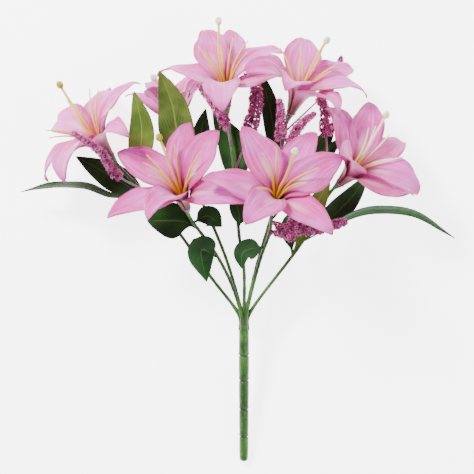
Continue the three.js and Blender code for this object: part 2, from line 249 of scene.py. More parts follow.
class Nodes:
    def __init__(self, name, roughness, **settings):
        self.material = bpy.data.materials.new(name)
        self.material.use_nodes = True
        self.tree = self.material.node_tree
        self.shader = self.tree.nodes["Principled BSDF"]
        self.shader.inputs["Roughness"].default_value = roughness
        for socket, value in settings.items():
            self.shader.inputs[socket.replace("_", " ")].default_value = value

    def add(self, kind, inputs=(), **settings):
        node = self.tree.nodes.new("ShaderNode" + kind)
        for key, value in settings.items():
            setattr(node, key, value)
        for key, value in dict(inputs).items():
            if isinstance(value, bpy.types.NodeSocket):
                self.tree.links.new(value, node.inputs[key])
            else:
                node.inputs[key].default_value = value
        return node

    def math(self, operation, a, b=0.0, c=0.0):
        return self.add("Math", {0: a, 1: b, 2: c}, operation=operation).outputs[0]

    def fade(self, value, start, end, low=0.0, high=1.0):
        inputs = {0: value, 1: start, 2: end, 3: low, 4: high}
        return self.add("MapRange", inputs, interpolation_type="SMOOTHSTEP").outputs[0]

    def ramp(self, value, stops):
        node = self.add("ValToRGB", {0: value})
        band = node.color_ramp
        while len(band.elements) < len(stops):
            band.elements.new(0.5)
        for element, (position, colour) in zip(band.elements, stops):
            element.position = position
            element.color = (*colour, 1)
        return node.outputs[0]

    def mix(self, share, a, b, blend="MIX"):
        node = self.add("Mix", data_type="RGBA", blend_type=blend)
        for socket, value in ((node.inputs[0], share), (node.inputs[6], a), (node.inputs[7], b)):
            if isinstance(value, bpy.types.NodeSocket):
                self.tree.links.new(value, socket)
            elif isinstance(value, tuple):
                socket.default_value = (*value, 1)
            else:
                socket.default_value = value
        return node.outputs[2]

    def noise(self, vector, scale, detail=2.0, roughness=0.5):
        inputs = {"Vector": vector, "Scale": scale, "Detail": detail, "Roughness": roughness}
        return self.add("TexNoise", inputs).outputs[0]

    def stretched(self, vector, x, y, z=1.0):
        return self.add("Mapping", {"Vector": vector, "Scale": (x, y, z)}).outputs[0]

    def finish(self, colour, height=None, strength=0.2, distance=0.001, roughness=None):
        self.tree.links.new(colour, self.shader.inputs["Base Color"])
        if height is not None:
            bump = self.add("Bump", {"Strength": strength, "Distance": distance, "Height": height})
            self.tree.links.new(bump.outputs[0], self.shader.inputs["Normal"])
        if roughness is not None:
            self.tree.links.new(roughness, self.shader.inputs["Roughness"])
        return self.material


def linear(r, g, b):
    return tuple((c / 255 / 12.92) if c < 10 else ((c / 255 + 0.055) / 1.055) ** 2.4 for c in (r, g, b))


# throat is painted shade, the dark that falls deep in each flower's throat
satin = dict(throat=(104, 26, 34), cream=(250, 206, 196), rose=(184, 56, 110), lilac=(226, 94, 194),
             pink=(216, 56, 156), edge=(176, 20, 112), pale=(254, 176, 232), weave=(150, 420))


def satinMaterial():
    n = Nodes("petalSatin", 0.42, Sheen_Weight=0.12, Sheen_Roughness=0.4, Specular_IOR_Level=0.4,
              Subsurface_Weight=0.12, Subsurface_Radius=(0.004, 0.002, 0.003), Subsurface_Scale=1.0)
    uv = n.add("TexCoord").outputs["UV"]
    objectPlace = n.add("TexCoord").outputs["Object"]
    split = n.add("SeparateXYZ", {0: uv})
    along = split.outputs[0]
    across = n.math("ABSOLUTE", n.math("MULTIPLY_ADD", split.outputs[1], 2.0, -1.0))
    patches = n.noise(objectPlace, 38, 3)
    body = n.mix(n.fade(patches, 0.38, 0.64), linear(*satin["pink"]), linear(*satin["lilac"]))
    streaks = n.noise(n.stretched(uv, 2.2, 34), 1, 4, 0.62)  # veins that run from foot to tip
    body = n.mix(n.fade(streaks, 0.45, 0.75, 0, 0.5), body, linear(*satin["pale"]))
    body = n.mix(n.fade(streaks, 0.5, 0.25, 0, 0.45), body, linear(*satin["edge"]))
    rib = n.math("MULTIPLY", n.fade(across, 0.0, 0.3, 1, 0), n.fade(along, 0.72, 0.35, 0, 1))
    body = n.mix(n.math("MULTIPLY", rib, 0.6), body, linear(*satin["cream"]))
    rimCloud = n.fade(n.noise(objectPlace, 60, 2), 0.3, 0.7, 0.25, 0.95)
    rim = n.math("MULTIPLY", n.fade(across, 0.62, 1.0), rimCloud)
    body = n.mix(rim, body, linear(*satin["edge"]))
    tip = n.fade(along, 0.8, 1.0, 0, 0.55)
    body = n.mix(tip, body, linear(*satin["edge"]))
    body = n.mix(n.fade(along, 0.5, 0.18, 0, 0.95), body, linear(*satin["rose"]))
    # painted shade: the petal feet darken towards the throat, deep inside the flower
    body = n.mix(n.fade(along, 0.32, 0.1), body, linear(*satin["throat"]))
    acrossWeave, alongWeave = satin["weave"]
    warpAt = n.stretched(uv, alongWeave, 1)
    warp = n.add("TexWave", {"Vector": warpAt, "Scale": 1.0}, bands_direction="X")
    weftAt = n.stretched(uv, 1, acrossWeave)
    weft = n.add("TexWave", {"Vector": weftAt, "Scale": 1.0}, bands_direction="Y")
    weave = n.math("MULTIPLY_ADD", warp.outputs[1], 0.5, n.math("MULTIPLY", weft.outputs[1], 0.5))
    veins = n.noise(n.stretched(uv, 1.5, 26), 1, 2)
    folds = n.noise(n.stretched(uv, 1.6, 7), 1, 1)  # soft pleats pressed into the cloth
    height = n.math("MULTIPLY_ADD", veins, 1.2, n.math("MULTIPLY", weave, 0.12))
    height = n.math("MULTIPLY_ADD", folds, 3.4, height)
    roughness = n.fade(streaks, 0.3, 0.7, 0.4, 0.56)
    return n.finish(body, height, 0.8, 0.0014, roughness)


def leafMaterial(name, dark, mid, light):
    n = Nodes(name, 0.62, Sheen_Weight=0.03, Specular_IOR_Level=0.14)
    uv = n.add("TexCoord").outputs["UV"]
    objectPlace = n.add("TexCoord").outputs["Object"]
    split = n.add("SeparateXYZ", {0: uv})
    along = split.outputs[0]
    across = n.math("ABSOLUTE", n.math("MULTIPLY_ADD", split.outputs[1], 2.0, -1.0))
    body = n.mix(n.fade(n.noise(objectPlace, 45, 4), 0.35, 0.68), linear(*dark), linear(*mid))
    # side veins leave the midrib and run on towards the tip
    slant = n.math("MULTIPLY_ADD", across, -0.42, along)
    veins = n.math("ABSOLUTE", n.math("SINE", n.math("MULTIPLY", slant, 46.0)))
    veinLine = n.fade(veins, 0.28, 0.0)
    fine = n.noise(n.stretched(uv, 5, 60), 1, 3)
    body = n.mix(n.fade(fine, 0.4, 0.75, 0, 0.5), body, linear(*mid))
    body = n.mix(n.math("MULTIPLY", veinLine, 0.35), body, linear(*light))
    midrib = n.fade(across, 0.07, 0.0)
    body = n.mix(n.math("MULTIPLY", midrib, 0.6), body, linear(*light))
    body = n.mix(n.fade(across, 0.86, 1.0, 0, 0.4), body, linear(*dark))
    threads = n.noise(n.stretched(uv, 260, 90), 1, 1)
    height = n.math("MULTIPLY_ADD", veinLine, -0.8, n.math("MULTIPLY", midrib, -1.2))
    height = n.math("MULTIPLY_ADD", threads, 0.35, height)
    return n.finish(body, height, 0.5, 0.0006, n.fade(fine, 0.3, 0.7, 0.5, 0.68))


def plasticMaterial(name, dark, mid, light):
    n = Nodes(name, 0.42, Specular_IOR_Level=0.45)
    objectPlace = n.add("TexCoord").outputs["Object"]
    clouds = n.noise(objectPlace, 60, 5)
    grain = n.noise(n.stretched(objectPlace, 900, 90, 900), 1, 3)  # drawn out along the stem
    body = n.mix(n.fade(clouds, 0.35, 0.68), linear(*dark), linear(*mid))
    body = n.mix(n.fade(grain, 0.5, 0.8, 0, 0.45), body, linear(*light))
    # painted shade: the groove attribute darkens the handle's joint grooves towards a deep green
    groove = n.add("Attribute", attribute_name="groove").outputs["Fac"]
    body = n.mix(n.math("MULTIPLY", groove, 0.5), body, linear(20, 44, 10))
    height = n.math("MULTIPLY_ADD", grain, 0.5, clouds)
    return n.finish(body, height, 0.35, 0.0004, n.fade(grain, 0.3, 0.7, 0.36, 0.55))


def stamenMaterial(name, foot, middle, tip):
    n = Nodes(name, 0.38, Specular_IOR_Level=0.45,
              Subsurface_Weight=0.08, Subsurface_Radius=(0.002, 0.0015, 0.001))
    along = n.add("Attribute", attribute_name="along").outputs["Fac"]
    objectPlace = n.add("TexCoord").outputs["Object"]
    blotch = n.noise(objectPlace, 220, 3)
    spread = n.math("MULTIPLY_ADD", blotch, 0.16, n.math("SUBTRACT", along, 0.08))
    body = n.ramp(spread, [
        (0.0, linear(*foot)),
        (0.42, linear(*middle)),
        (0.78, linear(*tip)),
        (1.0, linear(*tip)),
    ])
    body = n.mix(n.fade(blotch, 0.5, 0.8, 0, 0.3), body, linear(*foot))
    return n.finish(body, blotch, 0.25, 0.0004, n.fade(blotch, 0.3, 0.7, 0.3, 0.5))


def knobMaterial(name, base, light):
    n = Nodes(name, 0.5, Specular_IOR_Level=0.4)
    objectPlace = n.add("TexCoord").outputs["Object"]
    spots = n.noise(objectPlace, 700, 3)
    body = n.mix(n.fade(spots, 0.4, 0.65), linear(*base), linear(*light))
    return n.finish(body, spots, 0.5, 0.0005, n.fade(spots, 0.3, 0.7, 0.4, 0.6))


def floretMaterial():
    n = Nodes("floretPlastic", 0.5, Sheen_Weight=0.2, Specular_IOR_Level=0.35)
    tint = n.add("Attribute", attribute_name="tint").outputs["Fac"]
    # painted shade: the cup attribute darkens the sunk middle of each floret, and part of the stalk
    cup = n.add("Attribute", attribute_name="cup").outputs["Fac"]
    objectPlace = n.add("TexCoord").outputs["Object"]
    body = n.ramp(tint, [
        (0.0, linear(104, 22, 70)),
        (0.35, linear(160, 46, 114)),
        (0.75, linear(196, 84, 152)),
        (1.0, linear(224, 140, 190)),
    ])
    body = n.mix(n.fade(cup, 0.6, 0.1), body, linear(72, 14, 44))
    speck = n.noise(objectPlace, 900, 2)
    body = n.mix(n.fade(speck, 0.55, 0.8, 0, 0.3), body, linear(236, 180, 210))
    return n.finish(body, speck, 0.4, 0.0004, n.fade(speck, 0.3, 0.7, 0.42, 0.6))


petalSatin = satinMaterial()
darkLeaf = leafMaterial("darkLeafCloth", (8, 36, 4), (22, 62, 12), (66, 106, 42))
paleLeaf = leafMaterial("paleLeafCloth", (56, 82, 22), (98, 118, 44), (146, 160, 82))
coolLeaf = leafMaterial("coolLeafCloth", (18, 52, 20), (36, 78, 34), (84, 122, 72))
stemPlastic = plasticMaterial("stemPlastic", (24, 56, 12), (50, 94, 24), (100, 140, 58))
goldStamen = stamenMaterial("goldStamen", (158, 84, 14), (208, 146, 34), (228, 188, 96))
whiteStamen = stamenMaterial("whiteStamen", (180, 104, 20), (222, 168, 62), (244, 230, 190))
creamKnob = knobMaterial("creamKnob", (214, 206, 170), (246, 242, 226))
oliveKnob = knobMaterial("oliveKnob", (132, 112, 14), (178, 158, 40))
floretPlastic = floretMaterial()
print("materials done")


# how much painted shade a point of the handle takes from its nearness to a joint groove
def jointShadeAt(fromFork):
    near = min(abs(handle["length"] - fromFork - at) for at in handle["joints"])
    return 1 - smooth(near, handle["shadeNear"], handle["shadeFar"])


# share of the radius, and distance from the free end
freeEnd = [(0.3, 0), (0.62, 0.25), (0.86, 1.0), (0.97, 2.2), (1, 4)]

# distance from a joint, and how far the surface stands out of the tapered stem there
jointProfile = [
    (-13, 0.1),
    (-3.4, 0.1),
    (-1.5, handle["lip"] * 0.4),
    (-0.7, -handle["jointDepth"]),
    (0.1, -handle["jointDepth"]),
    (0.6, handle["lip"]),
    (1.6, handle["lip"] * 0.6),
    (4, 0.05),
]

# share of the radius, and distance from the fork
forkEnd = [(1, 6), (0.99, 1), (0.9, 0.2)]


def handleRadius(at):
    return lerp(handle["endRadius"], handle["topRadius"], at / handle["length"]) + handle["fullness"]


def buildHandle():
    rings = [(handleRadius(at) * share, at) for share, at in freeEnd]
    for at in handle["joints"]:
        rings += [(handleRadius(at) + swell, at + step) for step, swell in jointProfile]
    rings += [(handle["topRadius"] * share, handle["length"] - left) for share, left in forkEnd]
    bpy.ops.mesh.primitive_circle_add(vertices=handle["sides"], radius=rings[0][0], fill_type="NGON")
    piece = bpy.context.object
    bpy.ops.object.mode_set(mode="EDIT")
    for (before, low), (after, high) in zip(rings, rings[1:]):
        bpy.ops.mesh.extrude_region_move(TRANSFORM_OT_translate={"value": (0, 0, high - low)})
        bpy.ops.transform.resize(value=(after / before, after / before, 1), center_override=(0, 0, high))
    bpy.ops.mesh.select_all(action="SELECT")
    bpy.ops.mesh.normals_make_consistent(inside=False)
    bpy.ops.object.mode_set(mode="OBJECT")
    bpy.ops.object.shade_smooth_by_angle(angle=math.radians(50))
    start = place(forkPoint - handleWay * handle["length"])
    turn = handleWay.to_track_quat("Z", "X").to_matrix().to_4x4()
    settle(piece, Matrix.Translation(start) @ turn @ Matrix.Scale(mm, 4))
    piece.name = piece.data.name = "mouldedHandle"
    # the groove attribute holds the painted shade of the joint grooves
    mark(piece, "groove", lambda co: jointShadeAt((origin + forkPoint * mm - co).dot(handleWay) / mm))
    wear(piece, stemPlastic, "green_plastic", "handle")


branch = dict(radius=1.25, shown=1.5, footRadius=2.1, footLength=30, calyxRadius=3.6, calyxLength=11, gap=0.3,
              straight=9, neck=14, sunk=1.2, ripple=0.12, ripplePace=0.9, rings=44, sides=16)

# petals: azimuth, lean and curl of each; pistil and filaments: azimuth and lean
lilies = {
    "left": dict(
        slot=3, via=[(-29, 45, 34), (-68, 98, 40)], base=(-114, 148, 48),
        faces=(-0.56, 0.71, 0.42), size=1,
        petals=[(20, 70, 40), (75, 72, 40), (130, 65, 60), (180, 88, 60), (235, 80, 80), (310, 75, 40)],
        pistil=(60, 6), filaments=[(20, 28), (60, 30), (110, 18), (180, 32), (215, 34), (300, 22)],
        stamen=goldStamen, knob=oliveKnob,
    ),
    "back_left": dict(
        slot=4, via=[(-13, 53, 26), (-24, 82, 24), (-41, 120, 20)], base=(-55, 165, 22),
        faces=(-0.2, 0.92, 0.34), size=0.82,
        petals=[(5, 42, 45), (60, 44, 60), (120, 38, 60), (155, 44, 50), (240, 30, 20), (300, 38, 20)],
        pistil=(230, 16), filaments=[(0, 20), (50, 24), (120, 14), (180, 22), (240, 20), (300, 24)],
        stamen=whiteStamen, knob=creamKnob,
    ),
    "top": dict(
        slot=6, via=[(0, 51, 38), (-4, 79, 40), (-10, 150, 36)], base=(-14.8, 191, 42),
        faces=(-0.05, 0.85, 0.5), size=1,
        petals=[(25, 65, 50), (82, 64, 15), (108, 60, 20), (168, 70, 65), (268, 82, 40), (365, 85, 75)],
        pistil=(110, 8), filaments=[(30, 26), (60, 16), (110, 20), (160, 24), (220, 18), (330, 24)],
        stamen=goldStamen, knob=creamKnob,
    ),
    "top_right": dict(
        slot=5, via=[(10, 50, 30), (27, 111, 34)], base=(40, 185, 50),
        faces=(0.3, 0.76, 0.57), size=1,
        petals=[(-5, 60, 60), (42, 70, 30), (90, 66, 30), (190, 50, 115), (245, 45, 60), (298, 52, 60)],
        pistil=(0, 5), filaments=[(20, 26), (70, 28), (120, 20), (160, 30), (240, 18), (320, 20)],
        stamen=goldStamen, knob=creamKnob,
    ),
    "right": dict(
        slot=0, via=[(51, 76, 40)], base=(82, 125, 52), faces=(0.55, 0.53, 0.64), size=1,
        petals=[(-15, 60, 60), (45, 70, 30), (92, 60, 20), (130, 60, 80), (215, 50, 20), (350, 72, 60)],
        pistil=(100, 16), filaments=[(15, 32), (60, 28), (90, 22), (130, 18), (200, 12), (-30, 16)],
        stamen=whiteStamen, knob=creamKnob,
    ),
    "front_left": dict(
        slot=2, via=[(-11, 39, 38), (-25, 66, 46)], base=(-49, 104, 66),
        faces=(-0.2, 0.6, 0.77), size=1,
        petals=[(50, 65, 30), (82, 65, 30), (150, 60, 15), (200, 80, 20), (248, 50, 40), (336, 74, 40)],
        pistil=(115, 14), filaments=[(30, 29), (85, 24), (140, 31), (165, 27), (210, 20), (330, 24)],
        stamen=goldStamen, knob=oliveKnob,
    ),
    "front_right": dict(
        slot=1, via=[(14, 60, 46), (22, 83, 58)], base=(25, 105, 84),
        faces=(0.13, 0.48, 0.87), size=1,
        petals=[(28, 75, 20), (62, 80, 15), (124, 70, 10), (178, 76, 15), (236, 55, 40), (312, 66, 20)],
        pistil=(60, 8), filaments=[(20, 33), (70, 20), (100, 27), (140, 25), (215, 28), (330, 20)],
        stamen=goldStamen, knob=creamKnob,
    ),
}


def branchLine(lily):
    ringRadius = 0 if lily["slot"] == 6 else 2 * branch["radius"] + branch["gap"]  # slot 6 is the middle
    angle = math.radians(60 * lily["slot"])
    above = Vector((1, 0, 0)).cross(handleWay)
    start = forkPoint + Vector((ringRadius * math.cos(angle), 0, 0)) + above * ringRadius * math.sin(angle)
    base = Vector(lily["base"])
    neck = base - Vector(lily["faces"]).normalized() * branch["neck"]
    return Line([start, start + handleWay * branch["straight"], *lily["via"], neck, base])


branchLines = {name: branchLine(lily) for name, lily in lilies.items()}


def buildBranch(name):
    line = branchLines[name]
    count = branch["rings"]
    radii = []
    for k in range(count + 1):
        at = k / count * line.length
        left = line.length - at
        swell = lerp(branch["footRadius"], branch["shown"], smooth(at, 0, branch["footLength"]))
        calyx = smooth(branch["calyxLength"] - left, 0, branch["calyxLength"]) ** 1.5
        swell = lerp(swell, branch["calyxRadius"], calyx)
        radii.append((swell + branch["ripple"] * math.sin(at * branch["ripplePace"])) * mm)
    points = [place(line.at(k / count)) for k in range(count + 1)]
    points[0] = place(line.at(0) - handleWay * branch["sunk"])
    piece = tubeAlong(points, radii, branch["sides"], "wiredBranch_" + name)
    wear(piece, stemPlastic, "green_plastic", "branch_" + name)


buildHandle()
for name in lilies:
    buildBranch(name)
print("handle and branches done")

petalShape = dict(ringRadius=4.2, ringHeight=1, ringSides=24, ringEdge=0.3, foot=0.8, stackStep=1.5,
                  nestStep=1.2, tubeLean=13, thickness=0.45, rows=18, columns=8, steps=40, arc=0.95,
                  cup=4.6, midrib=0.2, roll=0.9, point=0.27, tipWidth=0.5, twist=30, tipCurl=34)
innerPetal = dict(length=80, width=36, flareStart=0.16, flareEnd=0.55, ruffle=2.4)
outerPetal = dict(length=80, width=30, flareStart=0.1, flareEnd=0.5, ruffle=2)


def lilyMatrix(lily):
    forward = Vector(lily["faces"]).normalized()
    right = (Vector((1, 0, 0)) - forward * forward.x).normalized()
    turn = Matrix((right, forward.cross(right), forward)).transposed().to_4x4()
    return Matrix.Translation(place(lily["base"])) @ turn


def petalMidline(size, length, lean, curl, start):
    steps = petalShape["steps"]
    line = [(*start, math.radians(petalShape["tubeLean"]))]
    for k in range(steps):
        u = (k + 0.5) / steps
        tilt = lerp(petalShape["tubeLean"], lean, smooth(u, size["flareStart"], size["flareEnd"]))
        tilt += curl * max(0, 2 * u - 1) ** 1.3 + petalShape["tipCurl"] * smooth(u, 0.86, 1)
        tilt = math.radians(tilt)
        radius, height, _ = line[-1]
        step = length / steps
        line.append((radius + math.sin(tilt) * step, height + math.cos(tilt) * step, tilt))
    return line


def petalHalfWidth(u, width):
    blade = max(math.sin(math.pi * (0.1 + 0.9 * u) ** 1.35), 0) ** 0.62
    return max(petalShape["tipWidth"], width / 2 * blade * (1 - petalShape["point"] * smooth(u, 0.5, 1)))


def buildPetal(lily, number, root, inner):
    size = innerPetal if inner else outerPetal
    azimuth, lean, curl = lily["petals"][number]
    length = size["length"] * lily["size"]
    ringRadius = petalShape["ringRadius"] - (petalShape["nestStep"] if inner else 0)
    floor = branch["gap"] + (petalShape["stackStep"] if inner else 0)
    foot = (ringRadius - petalShape["foot"], floor + petalShape["ringHeight"] / 2)
    midline = petalMidline(size, length, lean, curl, foot)
    steps = len(midline) - 1

    def spread(u):
        radius = midline[round(u * steps)][0]
        angle = petalHalfWidth(u, size["width"] * lily["size"]) / radius
        return radius, min(angle, petalShape["arc"])

    def halfWidth(u):
        radius, angle = spread(u)
        return radius * math.sin(angle) * mm

    def depth(u):
        radius, angle = spread(u)
        hollow = radius * (1 - math.cos(angle)) * abs(math.cos(midline[round(u * steps)][2]))
        return (hollow + petalShape["cup"] * math.sin(math.pi * smooth(u, 0.25, 1.1))) * mm

    piece = blank(length * mm, petalShape["rows"], petalShape["columns"], halfWidth, depth, petalShape["arc"],
                  petalShape["midrib"], size["ruffle"] * mm, petalShape["roll"])
    points, tilts = [], []
    twist = math.radians(chance.uniform(-1, 1) * petalShape["twist"])
    for k, (radius, height, _) in enumerate(midline):
        tilts.append(twist * smooth(k / steps, 0.4, 1))
        sway = math.radians((azimuth - root) * smooth(k / steps, 0.15, 0.8))
        points.append((radius * math.cos(sway) * mm, radius * math.sin(sway) * mm, height * mm))
    bendAlong(piece, points, tilts, petalShape["thickness"] * mm)
    settle(piece, lilyMatrix(lily) @ Matrix.Rotation(math.radians(root), 4, "Z"))
    return piece


def buildRing(lily, inner):
    ringRadius = (petalShape["ringRadius"] - (petalShape["nestStep"] if inner else 0)) * mm
    floor = (branch["gap"] + (petalShape["stackStep"] if inner else 0)) * mm
    bpy.ops.mesh.primitive_cylinder_add(vertices=petalShape["ringSides"], radius=ringRadius,
                                        depth=petalShape["ringHeight"] * mm)
    piece = bpy.context.object
    edges = piece.modifiers.new("edges", "BEVEL")
    edges.width = petalShape["ringEdge"] * mm
    edges.segments = 2
    applyModifiers(piece)
    bpy.ops.object.shade_smooth_by_angle(angle=math.radians(40))
    settle(piece, lilyMatrix(lily) @ Matrix.Translation((0, 0, floor + petalShape["ringHeight"] / 2 * mm)))
    return piece


stamenShape = dict(length=56, radius=1.2, tipRadius=0.5, hubRadius=1.5, hubSunk=0.2, upright=0.2, rise=4.3,
                   sides=8, sway=3.2, pistilLength=76, pistilRadius=1.35, pistilTaper=0.8, pistilSteps=26,
                   knobRadius=3.1, knobLength=7.4, knobSunk=0.45, lobes=3)


def stalkPoints(azimuth, lean, length, foot, count=18):
    out = Vector((math.cos(math.radians(azimuth)), math.sin(math.radians(azimuth)), 0))
    side = out.cross(Vector((0, 0, 1)))

    def point(share, angle):
        angle = math.radians(angle)
        up = Vector((0, 0, stamenShape["rise"] + math.cos(angle) * length * share))
        return up + out * (foot + math.sin(angle) * length * share)

    a, b, c = point(0, 0), point(0.55, lean * stamenShape["upright"]), point(1, lean)
    sway = chance.uniform(-stamenShape["sway"], stamenShape["sway"])
    phase = chance.uniform(0, 3)
    points = []
    for k in range(count + 1):
        t = k / count
        bow = side * sway * math.sin(3 * k / count + phase) * smooth(t, 0.1, 0.6)
        points.append(a * (1 - t) ** 2 + b * 2 * t * (1 - t) + c * t * t + bow)
    return points


def buildStamens(name, lily):
    matrix = lilyMatrix(lily)
    parts = []
    for azimuth, lean in lily["filaments"]:
        length = stamenShape["length"] * lily["size"]
        points = stalkPoints(azimuth, lean, length, stamenShape["hubRadius"] / 2)
        last = len(points) - 1
        thick, thin = stamenShape["radius"], stamenShape["tipRadius"]
        radii = [lerp(thick, thin, (k / last) ** 2) * mm for k in range(last + 1)]
        parts.append(tubeAlong([p * mm for p in points], radii, stamenShape["sides"], "filament"))
    hubHeight = stamenShape["rise"] - stamenShape["hubSunk"]
    bpy.ops.mesh.primitive_uv_sphere_add(segments=12, ring_count=8, radius=stamenShape["hubRadius"] * mm,
                                         location=(0, 0, hubHeight * mm))
    bpy.ops.object.transform_apply()
    bpy.ops.object.shade_smooth()
    parts.append(bpy.context.object)
    length = stamenShape["pistilLength"] * lily["size"]
    points = stalkPoints(*lily["pistil"], length, 0, stamenShape["pistilSteps"])
    last = len(points) - 1
    thick = stamenShape["pistilRadius"]
    thin = thick * stamenShape["pistilTaper"]
    radii = [lerp(thick, thin, k / last) * mm for k in range(last + 1)]
    parts.append(tubeAlong([p * mm for p in points], radii, stamenShape["sides"], "style"))
    piece = joinPieces(parts, "stamens_" + name)
    reach = stamenShape["length"] * 0.95
    mark(piece, "along", lambda co: min(max((co.z / mm - stamenShape["rise"]) / reach, 0), 1))
    settle(piece, matrix)
    wear(piece, lily["stamen"], "stamen_plastic", "stamens_" + name)
    knobAt, knobWay = points[-1], (points[-1] - points[-4]).normalized()
    bpy.ops.mesh.primitive_uv_sphere_add(segments=18, ring_count=12, radius=stamenShape["knobRadius"] * mm)
    knob = bpy.context.object
    bpy.ops.object.mode_set(mode="EDIT")
    bpy.ops.transform.resize(value=(1, 1, stamenShape["knobLength"] / stamenShape["knobRadius"] / 2))
    mesh = bmesh.from_edit_mesh(knob.data)
    # grooves part the top into lobes, and the neck is narrow
    for lobe in range(stamenShape["lobes"]):
        turn = math.radians(360 / stamenShape["lobes"] * lobe)
        groove = Vector((math.cos(turn), math.sin(turn), 0))

        def inGroove(co):
            flat = Vector((co.x, co.y, 0)).normalized()
            return co.z > 0 and co.normalized().dot(groove) > 0.55 and flat.dot(groove) > 0.93

        selectVerts(mesh, inGroove)
        bpy.ops.transform.resize(value=(0.72, 0.72, 0.9), center_override=(0, 0, 0))
    selectVerts(mesh, lambda co: co.z < -stamenShape["knobLength"] * 0.3 * mm)
    bpy.ops.transform.resize(value=(0.75, 0.75, 1), center_override=(0, 0, 0))
    bpy.ops.object.mode_set(mode="OBJECT")
    rounder = knob.modifiers.new("rounder", "SUBSURF")
    rounder.levels = rounder.render_levels = 1
    applyModifiers(knob)
    bpy.ops.object.shade_smooth()
    turn = knobWay.to_track_quat("Z", "X").to_matrix().to_4x4()
    knobMiddle = knobAt - knobWay * stamenShape["knobLength"] * stamenShape["knobSunk"]
    settle(knob, matrix @ Matrix.Translation(knobMiddle * mm) @ turn)
    knob.name = knob.data.name = "stigma_" + name
    wear(knob, lily["knob"], "stamen_plastic")


for name, lily in lilies.items():
    root = sum(petal[0] - 60 * k for k, petal in enumerate(lily["petals"])) / 6  # the six feet are 60 apart
    for inner in (False, True):
        numbers = (0, 2, 4) if inner else (1, 3, 5)
        parts = [buildPetal(lily, k, root + 60 * k, inner) for k in numbers] + [buildRing(lily, inner)]
        side = "inner" if inner else "outer"
        piece = joinPieces(parts, side + "Petals_" + name)
        wear(piece, petalSatin, "petal_satin", side + "_petals_" + name)
    buildStamens(name, lily)
    print("lily", name, "done")

leafShape = dict(thickness=0.5, petiole=1.0, petioleShare=0.12, tip=0.4, rows=18, columns=8, fold=0.16,
                 arc=0.8, midrib=0.35, ruffle=0.7, belly=0.8, steps=36)

leaves = {
    "left_low": dict(branch="left", along=0.76, width=15, roll=65,
                     line=[(-113, 114, 42), (-136, 122, 44), (-167, 123, 36), (-194, 118, 26)]),
    "left_broad": dict(branch="left", along=0.72, width=24,
                       line=[(-112, 130, 26), (-146, 149, 22)]),
    "left_upright": dict(branch="left", along=0.84, width=22, cloth=paleLeaf,
                         line=[(-87, 170, 62), (-93, 202, 72)]),
    "back_upright": dict(branch="back_left", along=0.76, width=30, cloth=paleLeaf,
                         line=[(-57, 168, 48.5), (-61, 191, 65.5), (-71, 218, 89)]),
    "middle_small": dict(branch="back_left", along=0.72, width=20,
                         line=[(-37, 169, 33), (-33, 190, 30)]),
    "middle_large": dict(branch="top", along=0.6, width=26,
                         line=[(-9, 156, 26), (-27, 188, 26)]),
    "top_long": dict(branch="top_right", along=0.7, width=16,
                     line=[(23, 189, 26), (12, 230, 22)]),
    "right_inner": dict(branch="top_right", along=0.65, width=18,
                        line=[(70, 163, 36), (78, 180, 34)]),
    "right_back": dict(branch="top_right", along=0.5, width=16,
                       line=[(79, 159, 22), (89, 168, 20)]),
    "right_broad": dict(branch="right", along=0.6, width=20,
                        line=[(93, 113, 26), (108, 135, 22)]),
    "right_pale": dict(branch="right", along=0.5, width=18, cloth=paleLeaf,
                       line=[(60, 102, 46), (74, 130, 46)]),
    "right_low": dict(branch="right", along=0.6, width=14, roll=60, cloth=coolLeaf,
                      line=[(100, 101, 38), (121, 103, 40), (147, 100, 36), (183, 78, 26)]),
    "front_left_wide": dict(branch="front_left", along=0.8, width=31,
                            line=[(-51, 92, 50), (-83, 93, 48)]),
    "front_left_short": dict(branch="front_left", along=0.84, width=18,
                             line=[(-31, 97, 53), (-19, 88, 50)]),
    "front_left_hanging": dict(branch="front_left", along=0.55, width=24, belly=0.55, cloth=coolLeaf,
                               line=[(-36, 68, 56), (-32, 41, 54)]),
    "centre_hanging": dict(branch="front_right", along=0.6, width=18, belly=0.65, cloth=coolLeaf,
                           line=[(-1, 66, 60), (-2, 52, 58)]),
    "centre_narrow": dict(branch="top", along=0.45, width=14,
                          line=[(-4, 98, 48), (-11, 119, 50)]),
    "front_right_low": dict(branch="right", along=0.5, width=14,
                            line=[(40, 92, 34), (56, 99, 32)]),
}


# the middle line of a leaf or sprig, from the skin of its branch outwards
def sideLine(item):
    carrier = branchLines[item["branch"]]
    start = carrier.at(item["along"])
    away = Vector(item["line"][0]) - start
    way = carrier.way(item["along"])
    square = (away - way * away.dot(way)).normalized()
    return Line([start + square * branch["radius"] * 0.8, *item["line"]])


def buildLeaf(name, leaf):
    line = sideLine(leaf)
    share = leafShape["petioleShare"]

    def halfWidth(u):
        blade = min(max((u - share) / (1 - share), 0), 1)
        swell = math.sin(math.pi * blade ** leaf.get("belly", leafShape["belly"])) ** 0.85
        least = leafShape["petiole"] if u < 0.5 else leafShape["tip"]
        return max(least, leaf["width"] / 2 * swell) * mm

    def depth(u):
        return halfWidth(u) * leafShape["fold"]

    piece = blank(line.length * mm, leafShape["rows"], leafShape["columns"], halfWidth, depth,
                  leafShape["arc"], leafShape["midrib"], leafShape["ruffle"] * mm)
    steps = leafShape["steps"]
    points = [place(line.at(k / steps)) for k in range(steps + 1)]
    roll = math.radians(leaf.get("roll", 0))
    bendAlong(piece, points, [roll] * (steps + 1), leafShape["thickness"] * mm)
    piece.name = piece.data.name = "clothLeaf_" + name
    cloth = leaf.get("cloth", darkLeaf)
    slotName = "pale_leaf_fabric" if cloth == paleLeaf else "dark_leaf_fabric"
    wear(piece, cloth, slotName, "leaf_" + name)


for name, leaf in leaves.items():
    buildLeaf(name, leaf)
print("leaves done")

sprigShape = dict(stalk=0.9, stalkTip=0.5, stalkSides=8, floret=2.3, perMillimetre=4.8, tipShare=0.5,
                  loose=1.2, steps=30, usualRadius=5, sunk=1)
wholeTurn = 6.283

